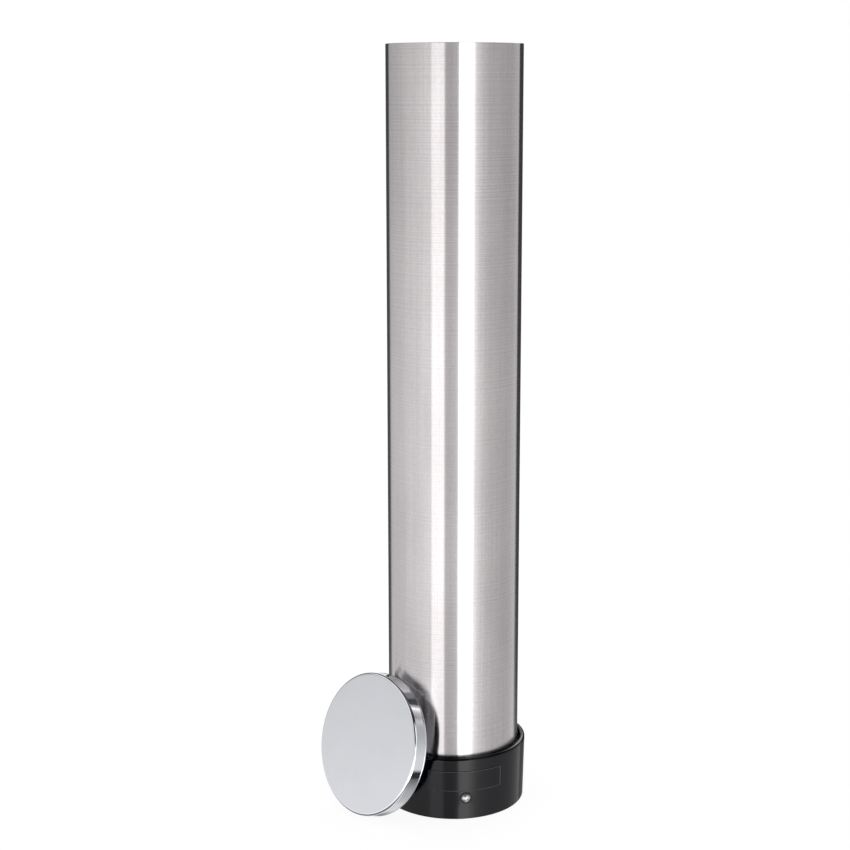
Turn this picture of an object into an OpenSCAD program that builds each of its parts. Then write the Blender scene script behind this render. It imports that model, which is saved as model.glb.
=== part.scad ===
// Pull-type cup dispenser: a brushed steel magazine tube that stands in a moulded
// throat collar, with its loose chrome cap leaning against the tube.
// Millimetres. The tube's axis is Z, the floor is z = 0 and the front is -Y.

/* [Tube] */
// Height of the tube's top rim above the floor
overall_h = 597; // [420:1:760]
// Outside diameter of the tube
tube_od = 104; // [84:0.5:126]
// Sheet thickness of the tube
tube_wall = 0.8; // [0.6:0.1:1.2]
// Width of the closed seam line down the tube's back
seam_w = 0.6; // [0.4:0.1:1.2]
// Depth of the seam line
seam_depth = 0.2; // [0.1:0.05:0.3]

/* [Collar] */
// Height of the collar's rim above the floor
collar_h = 50.5; // [42:0.5:60]
// Gap between the tube and the collar's bore, above and below the tube's socket
collar_gap = 2.5; // [2.2:0.1:3]
// Wall of the collar just under its rounded rim
collar_wall = 3.4; // [3:0.1:4.2]
// How much the wall tapers inwards from the rim to the foot
collar_draft = 1.1; // [0.4:0.1:1.5]
// Radius of the rim's outer edge
rim_round = 2; // [1:0.1:2.2]
// Radius of the foot's outer edge
foot_round = 1; // [0.4:0.1:1.2]
// Bevel of the rim's inner edge
rim_bevel = 0.6; // [0.2:0.1:0.8]
// Thickness of the shoulder that carries the tube
shoulder_t = 4; // [3.5:0.5:5]
// Depth of the socket above the shoulder
socket_depth = 8; // [7:0.5:9]
// Running gap between the tube and its socket
tube_fit = 0.15; // [0.05:0.05:0.3]
// Thickness of the soft ring under the tube
gasket_t = 1; // [0.6:0.1:1.6]

/* [Throat] */
// How far the throat stands in from the tube's outside
throat_step = 2.6; // [2.2:0.1:4]
// Thickness of the bottom ring
bottom_ring_t = 3; // [2.4:0.2:3.4]
// Play between the throat pieces and the collar's bore
throat_fit = 0.2; // [0.1:0.05:0.3]
// Diameter of the long screws that hold the throat together
throat_screw_d = 2.5; // [2:0.1:2.8]

/* [Fingers] */
// Width of a finger
finger_w = 15.2; // [12:0.2:17]
// Thickness of a finger's blade
finger_t = 2.4; // [2:0.1:2.6]
// How far a finger's nose stands out from its blade
nose_out = 2; // [1:0.2:2.6]
// How far the finger pins are under the shoulder
pivot_drop = 3.6; // [3.2:0.1:4.2]
// How far the finger pins stand back from the throat
pivot_step = 2; // [1.8:0.1:2.3]
// Diameter of the finger pins
pin_d = 1.8; // [1.5:0.1:2]
// Length of each end of a pin that the ring holds
pin_grip = 3; // [2:0.1:3.4]
// Wire of the finger springs
spring_wire_d = 0.5; // [0.4:0.05:0.6]

/* [Adjusting screws] */
// Thread diameter
screw_d = 4; // [3:0.5:4]
// Thread pitch
screw_pitch = 0.7; // [0.5:0.05:0.8]
// Turns from fully in to fully out
screw_turns = 4; // [3:0.5:4]
// Diameter of the round head
screw_head_d = 7.2; // [6.4:0.2:8]
// Height of the round head
screw_head_h = 2.2; // [1.6:0.1:2.6]
// Diameter of the black washer
washer_d = 9; // [8.4:0.2:10]
// Thickness of the washer
washer_t = 0.8; // [0.5:0.1:1]

/* [Label plate] */
// Angle that the bare plate spans round the collar
label_span = 60; // [40:1:70]
// Thickness of the plate
label_t = 0.3; // [0.2:0.05:0.5]

/* [Wall brackets] */
// How far the upper bracket's middle is under the tube's top rim
upper_bracket_drop = 77; // [50:1:120]
// Height of each bracket
bracket_h = 44; // [36:1:56]
// Sheet thickness of the brackets
bracket_t = 1.2; // [1:0.1:1.5]
// Gap between the collar's rim and the wall
wall_gap = 0.3; // [0.3:0.1:4]
// Diameter of a keyhole's round end
keyhole_d = 9; // [8:0.5:10]
// Width of a keyhole's slot
keyhole_slot_w = 4.6; // [4:0.1:5]
// Distance between the keyhole's two centres
keyhole_rise = 10; // [8:0.5:12]

/* [Cap] */
// How far the cap's skirt stands out from the tube
cap_room = 4; // [3.6:0.1:6]
// Depth of the cap's skirt, face included
cap_depth = 12; // [10:0.5:18]
// Thickness of the cap's shell
cap_wall = 1.6; // [1.2:0.1:1.8]
// Radius of the edge between face and skirt
cap_round = 2; // [0.8:0.1:2.4]
// How far the cap leans back
cap_lean = 16.3; // [12:0.1:22]
// Compass angle that the face looks to, from the front towards the left
cap_turn = 57.6; // [40:0.1:70]
// Gap left where the cap leans on the tube
cap_gap = 0.3; // [0.2:0.05:0.6]

/* [Hidden] */
$fn = 96;

// An overrun that lets a cutter pass a face cleanly
cut = 0.5;
// Gap between flat or round faces that are fastened together
seat_gap = 0.02;
// Gap between moving faces that don't bear on each other
free_gap = 0.3;

// Three stations, each with a sprung finger and its adjusting screw: front, right and left
station_count = 3;
front_angle = -90;
station_step = 360 / station_count;
function station_angle(i) = front_angle + i * station_step;

// Collar and the tube's seat in it
tube_r = tube_od / 2;
collar_bore_r = tube_r + collar_gap;
collar_top_r = collar_bore_r + collar_wall;
collar_foot_r = collar_top_r - collar_draft;
shoulder_z = collar_h * 0.713;
shoulder_under_z = shoulder_z - shoulder_t;
tube_foot_z = shoulder_z + gasket_t;
socket_r = tube_r + tube_fit;
socket_top_z = shoulder_z + socket_depth;
throat_r = tube_r - throat_step;
// How far the shoulder's bore stands back from the throat
seat_lip = 1.1;
shoulder_bore_r = throat_r + seat_lip;
function collar_r(z) = collar_foot_r + (collar_top_r - collar_foot_r) * z / (collar_h - rim_round);

// Rivets between collar and tube
tube_rivet_d = 3.2;
tube_rivet_head_d = 6.4;
tube_rivet_head_h = 1;
tube_rivet_tail_d = 4.4;
tube_rivet_tail_t = 0.9;
tube_rivet_z = tube_foot_z + (socket_top_z - tube_foot_z) / 2;
tube_rivet_angles = [45, 135];

// Throat pieces
throat_outer_r = collar_bore_r - throat_fit;
// The ring that carries the fingers is a little wider inside than the bottom ring
throat_relief = 0.8;
throat_ring_r = throat_r + throat_relief;
throat_screw_r = throat_screw_d / 2;
throat_screw_head_r = throat_screw_d * 0.88;
throat_screw_head_h = throat_screw_d * 0.6;
throat_screw_ring_r = (throat_r + throat_outer_r) / 2;
throat_screw_bite = shoulder_t * 0.75;
throat_screw_angles = [for (i = [0 : station_count - 1]) front_angle + (i + 1 / 2) * station_step];

// Fingers
pivot_z = shoulder_under_z - pivot_drop;
pivot_r = throat_r + pivot_step;
finger_len = (pivot_z - bottom_ring_t) * 0.945;
pin_r = pin_d / 2;
pin_running = 0.05;
knuckle_r = pin_r + finger_t * 0.38;
window_play = 0.4;
window_w = finger_w + 2 * window_play;
pin_len = window_w + 2 * pin_grip;
window_top_z = pivot_z + knuckle_r + free_gap;
// The rest of the finger's width, beside the knuckle, holds the spring
spring_room = finger_w * 0.32;
knuckle_w = finger_w - spring_room;
screw_r = screw_d / 2;
screw_z = collar_h * 0.356;
screw_travel = screw_pitch * screw_turns;
finger_arm = pivot_z - screw_z;
tip_gap = 0.25;
tip_reach = screw_r + finger_t / 2 + tip_gap;
// The lean that brings a finger's back to the screw's round tip, driven in by its travel
finger_lean = atan2(finger_arm, tip_reach - screw_travel)
    - acos(tip_reach / norm([finger_arm, tip_reach - screw_travel]));

// Springs
spring_coil_r = finger_t / 2 + spring_wire_d / 2 + 0.3 * spring_wire_d;
spring_turns = 4;
spring_steps = 12;
spring_sides = 8;
spring_leg = finger_len * 0.28;

// Adjusting screws
screw_running = 0.05;
insert_wall = 1.2;
insert_r = screw_r + insert_wall;
// The flat on the collar that the washer sits on
spot_r = washer_d / 2 + free_gap;
spot_sink = 0.4;
spot_plane_r = collar_r(screw_z) - spot_sink;
head_plane_r = spot_plane_r + washer_t;
// Centre of the screw's round tip when the screw is driven in
tip_centre_r = pivot_r + tip_reach - screw_travel;
hex_r = screw_d * 0.29;
hex_depth = screw_head_h * 0.55;

// Label
label_angle = front_angle;
label_z = collar_h * 0.634;
label_h = collar_h * 0.325;

// Wall brackets
upper_bracket_z = overall_h - upper_bracket_drop;
lower_bracket_z = overall_h * 0.2345;
bracket_w = tube_od * 0.394;
wall_y = collar_top_r + wall_gap;
bracket_foot_r = tube_r + seat_gap;
bracket_foot_end = 42;
// The feet start inside the legs
bracket_foot_start = asin((bracket_w - bracket_t) / 2 / (bracket_foot_r + bracket_t));
// The rivets stand a little outside the middle of the feet, clear of the legs
bracket_rivet_shift = 2;
bracket_rivet_angle = (bracket_foot_start + bracket_foot_end) / 2 + bracket_rivet_shift;
bracket_rivet_rise = bracket_h * 0.32;
bracket_rivet_d = 3.2;
bracket_rivet_head_d = 6;
bracket_rivet_head_h = 0.9;
bracket_rivet_tail_d = 4.4;
bracket_rivet_tail_t = 0.8;
keyhole_r = keyhole_d / 2;

// Cap
cap_r = tube_r + cap_room;
// How far the cap's middle stands off to the back of the line it leans along
cap_offset = tube_od * 0.1433;
cap_grip_fit = 0.05;
grip_outer_r = cap_r - cap_wall - cap_grip_fit;
cap_grip_play = 0.1;
grip_rib_r = tube_r + cap_grip_play;
grip_inner_r = grip_rib_r + 0.5 * (grip_outer_r - grip_rib_r);
grip_h = (cap_depth - cap_wall) * 0.8;
grip_rib_w = 3;
grip_ribs = 12;
// The cap stands on its skirt's open edge and leans with the same edge
cap_z = cap_depth * sin(cap_lean) + cap_r * cos(cap_lean);
function rim_side(a) = cap_r * cos(a) - cap_offset;
function rim_back(a) = cap_depth * cos(cap_lean) + cap_r * sin(a) * sin(cap_lean);
function rim_height(a) = cap_z - cap_depth * sin(cap_lean) + cap_r * sin(a) * cos(cap_lean);
function keep_off(a) = cap_gap + (rim_height(a) < collar_h ? collar_top_r : tube_r);
cap_reach = max([
    for (a = [0 : 1 : 359])
        rim_back(a) + sqrt(max(0, keep_off(a) ^ 2 - rim_side(a) ^ 2))
]);

// Turns what is drawn out along the X axis to its angle round the tube
module round_the_tube(angle) {
    rotate([0, 0, angle]) children();
}

// A cylinder along the local X axis, from x0 to x1
module spoke(x0, x1, r) {
    translate([x0, 0, 0]) rotate([0, 90, 0]) cylinder(h = x1 - x0, r = r);
}

// Half outline of a low dome of radius r that rises h above x0: a slice of a circle
module dome_outline(x0, r, h) {
    ball_r = (r ^ 2 + h ^ 2) / (2 * h);
    intersection() {
        translate([0, x0 + h - ball_r]) circle(r = ball_r);
        translate([0, x0]) square([r, h + cut]);
    }
}

// Turns a half outline, drawn with its radius along x and its axis along y, about the local X axis
module turned() {
    rotate([0, 90, 0]) rotate_extrude() children();
}

// A closed ring of rectangular section
module flat_ring(z0, z1, inner_r, outer_r) {
    difference() {
        translate([0, 0, z0]) cylinder(h = z1 - z0, r = outer_r);
        translate([0, 0, z0 - cut]) cylinder(h = z1 - z0 + 2 * cut, r = inner_r);
    }
}

// Where the flat face of a rivet's tail meets the tube's inner wall
function tail_seat(d) = sqrt((tube_r - tube_wall) ^ 2 - (d / 2) ^ 2);

// A blind rivet on the local X axis: shank, domed head outside and tail inside
module rivet(tail_x, head_x, d, head_d, head_h, tail_d, tail_t) {
    turned()
        union() {
            translate([0, tail_x - tail_t]) square([d / 2 - seat_gap, head_x - tail_x + tail_t + head_h / 2]);
            dome_outline(head_x, head_d / 2, head_h);
            translate([0, tail_x - tail_t]) square([tail_d / 2, tail_t - seat_gap]);
        }
}

module tube() {
    color([0.78, 0.77, 0.75])
    difference() {
        translate([0, 0, tube_foot_z]) cylinder(h = overall_h - tube_foot_z, r = tube_r);
        translate([0, 0, tube_foot_z - cut])
            cylinder(h = overall_h - tube_foot_z + 2 * cut, r = tube_r - tube_wall);
        translate([-seam_w / 2, tube_r - seam_depth, tube_foot_z - cut])
            cube([seam_w, seam_depth + cut, overall_h - tube_foot_z + 2 * cut]);
        for (a = tube_rivet_angles)
            round_the_tube(a) translate([0, 0, tube_rivet_z])
                spoke(tube_r - tube_wall - cut, tube_r + cut, tube_rivet_d / 2);
        for (z = [lower_bracket_z, upper_bracket_z])
            bracket_rivet_places(z) spoke(tube_r - tube_wall - cut, tube_r + cut, bracket_rivet_d / 2);
    }
}

module collar_profile() {
    union() {
        polygon([
            [collar_bore_r, 0],
            [collar_foot_r - foot_round, 0],
            [collar_foot_r, foot_round],
            [collar_top_r, collar_h - rim_round],
            [collar_top_r - rim_round, collar_h],
            [collar_bore_r + rim_bevel, collar_h],
            [collar_bore_r, collar_h - rim_bevel],
            [collar_bore_r, socket_top_z],
            [socket_r, socket_top_z],
            [socket_r, shoulder_z],
            [shoulder_bore_r, shoulder_z],
            [shoulder_bore_r, shoulder_under_z],
            [collar_bore_r, shoulder_under_z]
        ]);
        translate([collar_top_r - rim_round, collar_h - rim_round]) circle(r = rim_round);
        translate([collar_foot_r - foot_round, foot_round]) circle(r = foot_round);
    }
}

module collar() {
    color([0.07, 0.07, 0.08])
    difference() {
        rotate_extrude() collar_profile();
        for (i = [0 : station_count - 1])
            round_the_tube(station_angle(i)) translate([0, 0, screw_z]) {
                spoke(spot_plane_r, collar_top_r + cut, spot_r);
                spoke(collar_bore_r - cut, collar_top_r + cut, insert_r);
            }
        for (a = tube_rivet_angles)
            round_the_tube(a) translate([0, 0, tube_rivet_z])
                spoke(socket_r - cut, collar_top_r + cut, tube_rivet_d / 2);
        for (a = throat_screw_angles)
            round_the_tube(a) translate([throat_screw_ring_r, 0, shoulder_under_z - cut])
                cylinder(h = throat_screw_bite + cut, r = throat_screw_r + seat_gap);
    }
}

module tube_gasket() {
    color([0.16, 0.16, 0.16])
    flat_ring(shoulder_z, tube_foot_z, shoulder_bore_r + tube_fit, socket_r - tube_fit / 2);
}

module tube_rivets() {
    head_x = collar_r(tube_rivet_z + tube_rivet_head_d / 2) + seat_gap;
    color([0.75, 0.75, 0.75])
    for (a = tube_rivet_angles)
        round_the_tube(a) translate([0, 0, tube_rivet_z])
            rivet(tail_seat(tube_rivet_tail_d), head_x, tube_rivet_d, tube_rivet_head_d,
                tube_rivet_head_h, tube_rivet_tail_d, tube_rivet_tail_t);
}

module throat_ring() {
    color([0.13, 0.13, 0.14])
    difference() {
        flat_ring(bottom_ring_t, shoulder_under_z, throat_ring_r, throat_outer_r);
        for (i = [0 : station_count - 1])
            round_the_tube(station_angle(i)) {
                translate([throat_ring_r - finger_t, -window_w / 2, bottom_ring_t - cut])
                    cube([collar_top_r - throat_ring_r, window_w, window_top_z - bottom_ring_t + cut]);
                translate([pivot_r, -pin_len / 2, pivot_z])
                    rotate([-90, 0, 0]) cylinder(h = pin_len + collar_bore_r, r = pin_r + seat_gap);
            }
        for (a = throat_screw_angles)
            round_the_tube(a) translate([throat_screw_ring_r, 0, bottom_ring_t - cut])
                cylinder(h = shoulder_under_z - bottom_ring_t + 2 * cut, r = throat_screw_r + seat_gap);
    }
}

module bottom_ring() {
    color([0.1, 0.1, 0.11])
    difference() {
        flat_ring(0, bottom_ring_t, throat_r, throat_outer_r);
        for (a = throat_screw_angles)
            round_the_tube(a) translate([throat_screw_ring_r, 0, 0]) {
                translate([0, 0, -cut])
                    cylinder(h = bottom_ring_t + 2 * cut, r = throat_screw_r + seat_gap);
                translate([0, 0, -cut])
                    cylinder(h = throat_screw_head_h + cut, r = throat_screw_head_r + seat_gap);
            }
    }
}

module throat_screws() {
    color([0.7, 0.7, 0.7])
    for (a = throat_screw_angles)
        round_the_tube(a) translate([throat_screw_ring_r, 0, 0])
            difference() {
                union() {
                    translate([0, 0, foot_round / 4])
                        cylinder(h = throat_screw_head_h - foot_round / 4, r = throat_screw_head_r);
                    translate([0, 0, throat_screw_head_h / 2])
                        cylinder(h = shoulder_under_z + throat_screw_bite - throat_screw_head_h / 2
                            - seat_gap, r = throat_screw_r);
                }
                cylinder(h = throat_screw_head_h * 0.7, r = throat_screw_r * 0.6, $fn = 6);
            }
}

module screw_inserts() {
    color([0.8, 0.62, 0.28])
    for (i = [0 : station_count - 1])
        round_the_tube(station_angle(i)) translate([0, 0, screw_z])
            difference() {
                spoke(collar_bore_r + seat_gap, spot_plane_r - seat_gap, insert_r - seat_gap);
                spoke(collar_bore_r - cut, spot_plane_r + cut, screw_r + screw_running);
            }
}

module finger_pins() {
    color([0.72, 0.72, 0.72])
    for (i = [0 : station_count - 1])
        round_the_tube(station_angle(i))
            translate([pivot_r, -pin_len / 2 + seat_gap, pivot_z])
                rotate([-90, 0, 0]) cylinder(h = pin_len, r = pin_r);
}

// Side view of a finger hanging from its pin: x outward, y up, the pin at the origin
module finger_side() {
    half = finger_t / 2;
    nose_y = finger_len * 0.88;
    polygon([
        [half, 0],
        [half, -finger_len * 0.96],
        [half - finger_t * 0.3, -finger_len],
        [-half + finger_t * 0.3, -finger_len],
        [-half - nose_out * 0.7, -nose_y - nose_out * 0.5],
        [-half - nose_out, -nose_y],
        [-half - nose_out * 0.8, -nose_y + nose_out * 0.4],
        [-half, -nose_y + nose_out * 0.9],
        [-half, 0]
    ]);
}

// One finger, leaning in as the screw holds it
module finger(i) {
    round_the_tube(station_angle(i))
        translate([pivot_r, 0, pivot_z])
            rotate([0, finger_lean, 0])
                difference() {
                    union() {
                        translate([0, finger_w / 2, 0]) rotate([90, 0, 0])
                            linear_extrude(height = finger_w) finger_side();
                        translate([0, -finger_w / 2, 0]) rotate([-90, 0, 0])
                            cylinder(h = knuckle_w, r = knuckle_r);
                    }
                    translate([0, -finger_w / 2 - cut, 0]) rotate([-90, 0, 0])
                        cylinder(h = knuckle_w + 2 * cut, r = pin_r + pin_running);
                    translate([-pivot_r / 2, -finger_w / 2 + knuckle_w, -knuckle_r - 2 * free_gap])
                        cube([pivot_r, spring_room + cut, pivot_r / 2]);
                }
}

module front_finger() {
    color([0.2, 0.2, 0.21]) finger(0);
}

module right_finger() {
    color([0.2, 0.2, 0.21]) finger(1);
}

module left_finger() {
    color([0.2, 0.2, 0.21]) finger(2);
}

// Points of a spring's centre line: a leg down the finger's inner face, the coil
// round the pin and a leg that bears up against the throat ring
spring_y0 = -finger_w / 2 + knuckle_w + free_gap + spring_wire_d / 2;
spring_y1 = finger_w / 2 - spring_wire_d / 2;
function spring_point(u) =
    let (a = 180 - finger_lean - 360 * spring_turns * u)
    [spring_coil_r * cos(a), spring_y0 + (spring_y1 - spring_y0) * u, spring_coil_r * sin(a)];
spring_first = spring_point(0);
spring_last = spring_point(1);
spring_path = concat(
    [[spring_first[0] - spring_leg * sin(finger_lean), spring_first[1],
        spring_first[2] - spring_leg * cos(finger_lean)]],
    [for (k = [0 : spring_turns * spring_steps]) spring_point(k / (spring_turns * spring_steps))],
    [[spring_last[0] + (knuckle_r - spring_wire_d) * sin(finger_lean), spring_last[1],
        spring_last[2] + (knuckle_r - spring_wire_d) * cos(finger_lean)]]
);

function unit(v) = v / norm(v);

// Sweeps a round wire along a path; the frame's first side stays square to the Y axis
module wire(path, d, sides) {
    n = len(path);
    points = [
        for (k = [0 : n - 1])
            let (
                t = unit(path[min(k + 1, n - 1)] - path[max(k - 1, 0)]),
                p = unit(cross([0, 1, 0], t)),
                q = cross(t, p)
            )
            for (s = [0 : sides - 1])
                path[k] + d / 2 * (p * cos(360 * s / sides) + q * sin(360 * s / sides))
    ];
    faces = concat(
        [
            for (k = [0 : n - 2], s = [0 : sides - 1])
                let (a = k * sides + s, b = k * sides + (s + 1) % sides)
                for (f = [[a, a + sides, b], [b, a + sides, b + sides]]) f
        ],
        [[for (s = [0 : sides - 1]) s]],
        [[for (s = [sides - 1 : -1 : 0]) (n - 1) * sides + s]]
    );
    polyhedron(points = points, faces = faces);
}

module finger_springs() {
    color([0.65, 0.65, 0.67])
    for (i = [0 : station_count - 1])
        round_the_tube(station_angle(i))
            translate([pivot_r, 0, pivot_z]) wire(spring_path, spring_wire_d, spring_sides);
}

// One adjusting screw, driven fully in
module adjusting_screw(i) {
    round_the_tube(station_angle(i)) translate([0, 0, screw_z])
        difference() {
            turned()
                union() {
                    intersection() {
                        translate([0, tip_centre_r]) circle(r = screw_r);
                        translate([0, tip_centre_r - screw_r]) square([screw_r, screw_r]);
                    }
                    translate([0, tip_centre_r])
                        square([screw_r, head_plane_r + screw_head_h / 2 - tip_centre_r]);
                    dome_outline(head_plane_r + seat_gap, screw_head_d / 2, screw_head_h);
                }
            translate([head_plane_r + screw_head_h - hex_depth, 0, 0]) rotate([0, 90, 0])
                cylinder(h = hex_depth + cut, r = hex_r, $fn = 6);
        }
}

module front_screw() {
    color([0.85, 0.85, 0.86]) adjusting_screw(0);
}

module right_screw() {
    color([0.85, 0.85, 0.86]) adjusting_screw(1);
}

module left_screw() {
    color([0.85, 0.85, 0.86]) adjusting_screw(2);
}

module screw_washer(i) {
    round_the_tube(station_angle(i)) translate([0, 0, screw_z])
        difference() {
            spoke(spot_plane_r + seat_gap, head_plane_r, washer_d / 2);
            spoke(spot_plane_r - cut, head_plane_r + cut, screw_r + screw_running);
        }
}

module front_washer() {
    color([0.05, 0.05, 0.05]) screw_washer(0);
}

module right_washer() {
    color([0.05, 0.05, 0.05]) screw_washer(1);
}

module left_washer() {
    color([0.05, 0.05, 0.05]) screw_washer(2);
}

// The bare plate follows the collar's tapered wall
module label_plate() {
    z0 = label_z - label_h / 2;
    z1 = label_z + label_h / 2;
    color([0.12, 0.12, 0.13])
    rotate([0, 0, label_angle - label_span / 2])
        rotate_extrude(angle = label_span)
            polygon([
                [collar_r(z0) + seat_gap, z0],
                [collar_r(z0) + seat_gap + label_t, z0],
                [collar_r(z1) + seat_gap + label_t, z1],
                [collar_r(z1) + seat_gap, z1]
            ]);
}

// The four rivet places of the bracket whose middle is at height z
module bracket_rivet_places(z) {
    for (side = [-1, 1], rise = [-bracket_rivet_rise, bracket_rivet_rise])
        round_the_tube(90 + side * bracket_rivet_angle) translate([0, 0, z + rise]) children();
}

// A hat-shaped bracket from above: two curved feet, two legs and a flat web at the wall
module bracket_outline() {
    difference() {
        union() {
            for (side = [-1, 1]) {
                intersection() {
                    circle(r = bracket_foot_r + bracket_t);
                    polygon([
                        [0, 0],
                        2 * wall_y * [side * sin(bracket_foot_start), cos(bracket_foot_start)],
                        2 * wall_y * [side * sin(bracket_foot_end), cos(bracket_foot_end)]
                    ]);
                }
                translate([side * (bracket_w - bracket_t) / 2 - bracket_t / 2, 0])
                    square([bracket_t, wall_y]);
            }
            translate([-bracket_w / 2, wall_y - bracket_t]) square([bracket_w, bracket_t]);
        }
        circle(r = bracket_foot_r);
    }
}

module bracket(z) {
    color([0.72, 0.72, 0.72])
    difference() {
        translate([0, 0, z - bracket_h / 2]) linear_extrude(height = bracket_h) bracket_outline();
        translate([0, wall_y + cut, z - keyhole_rise / 2]) rotate([90, 0, 0])
            cylinder(h = bracket_t + 2 * cut, r = keyhole_r);
        translate([0, wall_y + cut, z + keyhole_rise / 2]) rotate([90, 0, 0])
            cylinder(h = bracket_t + 2 * cut, r = keyhole_slot_w / 2);
        translate([-keyhole_slot_w / 2, wall_y - bracket_t - cut, z - keyhole_rise / 2])
            cube([keyhole_slot_w, bracket_t + 2 * cut, keyhole_rise]);
        bracket_rivet_places(z) spoke(tube_r - cut, tube_r + bracket_t + 2 * cut, bracket_rivet_d / 2);
    }
}

module upper_bracket() {
    bracket(upper_bracket_z);
}

module lower_bracket() {
    bracket(lower_bracket_z);
}

module bracket_rivets() {
    color([0.75, 0.75, 0.75])
    for (z = [lower_bracket_z, upper_bracket_z])
        bracket_rivet_places(z)
            rivet(tail_seat(bracket_rivet_tail_d), bracket_foot_r + bracket_t + seat_gap, bracket_rivet_d,
                bracket_rivet_head_d, bracket_rivet_head_h, bracket_rivet_tail_d, bracket_rivet_tail_t);
}

// Stands the cap, drawn with its face up at z = 0, on the floor against the tube
module stood_cap() {
    away = -90 - cap_turn;
    rotate([0, 0, away])
        translate([cap_reach, -cap_offset, cap_z])
            rotate([0, 90 - cap_lean, 0])
                children();
}

module cap_shell() {
    color([0.85, 0.86, 0.88])
    stood_cap()
        rotate_extrude()
            difference() {
                union() {
                    translate([0, -cap_depth]) square([cap_r - cap_round, cap_depth]);
                    translate([0, -cap_depth]) square([cap_r, cap_depth - cap_round]);
                    translate([cap_r - cap_round, -cap_round]) circle(r = cap_round);
                }
                translate([0, -cap_depth - cut]) square([cap_r - cap_wall, cap_depth - cap_wall + cut]);
                translate([-cap_r, -cap_depth - cut]) square([cap_r, cap_depth + 2 * cut]);
            }
}

module cap_grip_ring() {
    color([0.1, 0.1, 0.1])
    stood_cap()
        translate([0, 0, -cap_wall - seat_gap - grip_h])
            union() {
                flat_ring(0, grip_h, grip_inner_r, grip_outer_r);
                for (k = [0 : grip_ribs - 1])
                    rotate([0, 0, 360 * k / grip_ribs])
                        intersection() {
                            translate([grip_rib_r, -grip_rib_w / 2, 0])
                                cube([grip_outer_r - grip_rib_r - cap_grip_fit, grip_rib_w, grip_h]);
                            flat_ring(0, grip_h, grip_rib_r, grip_outer_r);
                        }
            }
}

tube();
collar();
tube_gasket();
tube_rivets();
throat_ring();
bottom_ring();
throat_screws();
screw_inserts();
finger_pins();
finger_springs();
front_finger();
right_finger();
left_finger();
front_screw();
right_screw();
left_screw();
front_washer();
right_washer();
left_washer();
label_plate();
upper_bracket();
lower_bracket();
bracket_rivets();
cap_shell();
cap_grip_ring();
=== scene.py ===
# %% [markdown]
# # A cup dispenser: brushed tube, black collar, loose chrome cap
#
# The real object is a pull-type cup dispenser. A tall steel tube holds a stack of cups,
# a moulded collar at its foot lets them out one by one, and a flat round cap, taken off
# here, leans against the tube. The CAD model is packed already, so this script only adds
# looks: it loads the frame, builds finer surfaces for the pieces that mirror their
# surroundings, and gives every piece a material.

import math

import bpy
import numpy as np
from mathutils import Matrix, Vector


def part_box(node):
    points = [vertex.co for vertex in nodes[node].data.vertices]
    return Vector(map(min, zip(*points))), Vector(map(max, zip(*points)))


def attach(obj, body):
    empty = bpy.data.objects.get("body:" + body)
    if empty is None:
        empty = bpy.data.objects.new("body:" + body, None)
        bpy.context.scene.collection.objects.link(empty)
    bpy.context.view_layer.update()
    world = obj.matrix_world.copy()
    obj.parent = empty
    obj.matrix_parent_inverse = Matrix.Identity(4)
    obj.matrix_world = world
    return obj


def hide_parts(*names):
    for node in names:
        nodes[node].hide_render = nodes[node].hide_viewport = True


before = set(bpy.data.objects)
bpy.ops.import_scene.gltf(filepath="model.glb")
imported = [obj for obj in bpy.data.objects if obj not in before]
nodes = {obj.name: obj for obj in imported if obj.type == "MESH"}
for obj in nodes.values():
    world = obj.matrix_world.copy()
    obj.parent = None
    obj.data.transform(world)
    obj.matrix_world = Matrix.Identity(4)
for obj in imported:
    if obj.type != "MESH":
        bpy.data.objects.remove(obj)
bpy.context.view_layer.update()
bpy.context.scene.view_settings.view_transform = "Standard"

# %% [markdown]
# ## Sizes
#
# Blender works in metres here and the frame's axes are the CAD's own: Z runs up the tube,
# the front is -Y. Sizes that the surfaces below share are read from the loaded nodes
# where a box gives them, and are named once where it doesn't.

# %% Sizes
MM = 0.001
tube_low, tube_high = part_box("tube")
collar_low, collar_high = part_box("collar")
tube_r = tube_high.x
tube_foot = tube_low.z
tube_top = tube_high.z
collar_h = collar_high.z
collar_top_r = 57.9 * MM
collar_foot_r = 56.8 * MM
rim_round = 2.0 * MM
print("tube radius", round(tube_r / MM, 2), "mm")
print("tube from", round(tube_foot / MM, 1), "to", round(tube_top / MM, 1), "mm")
print("collar", round(collar_h / MM, 1), "mm tall")

# %% [markdown]
# ## Camera
#
# A photograph is matched with a plain pinhole camera: a place, a viewing direction and a
# focal length. The photograph was taken from a little to the left of the front, a good
# metre away and a little below the level of the tube's top, looking down by eleven to
# twelve degrees. The unit vectors to the right, up and backwards are the columns of the
# camera's rotation. These numbers come from fitting the outlines in the photograph.

# %% Camera
CAMERA_PLACE = Vector((-230.5, -1280.8, 569.5)) * MM
FOCAL_PX = 1693.5
IMAGE_PX = 850
SENSOR = 36.0
PITCH = 0.20031
YAW = -0.017319
ROLL = -0.0014933
TURN = math.radians(-10.2)


def turned_z(vector, angle):
    """The vector after a turn by the angle about Z."""
    return Matrix.Rotation(angle, 3, "Z") @ Vector(vector)


forward = turned_z(
    (math.sin(YAW) * math.cos(PITCH), math.cos(YAW) * math.cos(PITCH), -math.sin(PITCH)), TURN)
level_right = turned_z((math.cos(YAW), -math.sin(YAW), 0), TURN)
level_up = level_right.cross(forward)
right = math.cos(ROLL) * level_right + math.sin(ROLL) * level_up
up = math.cos(ROLL) * level_up - math.sin(ROLL) * level_right

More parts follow.
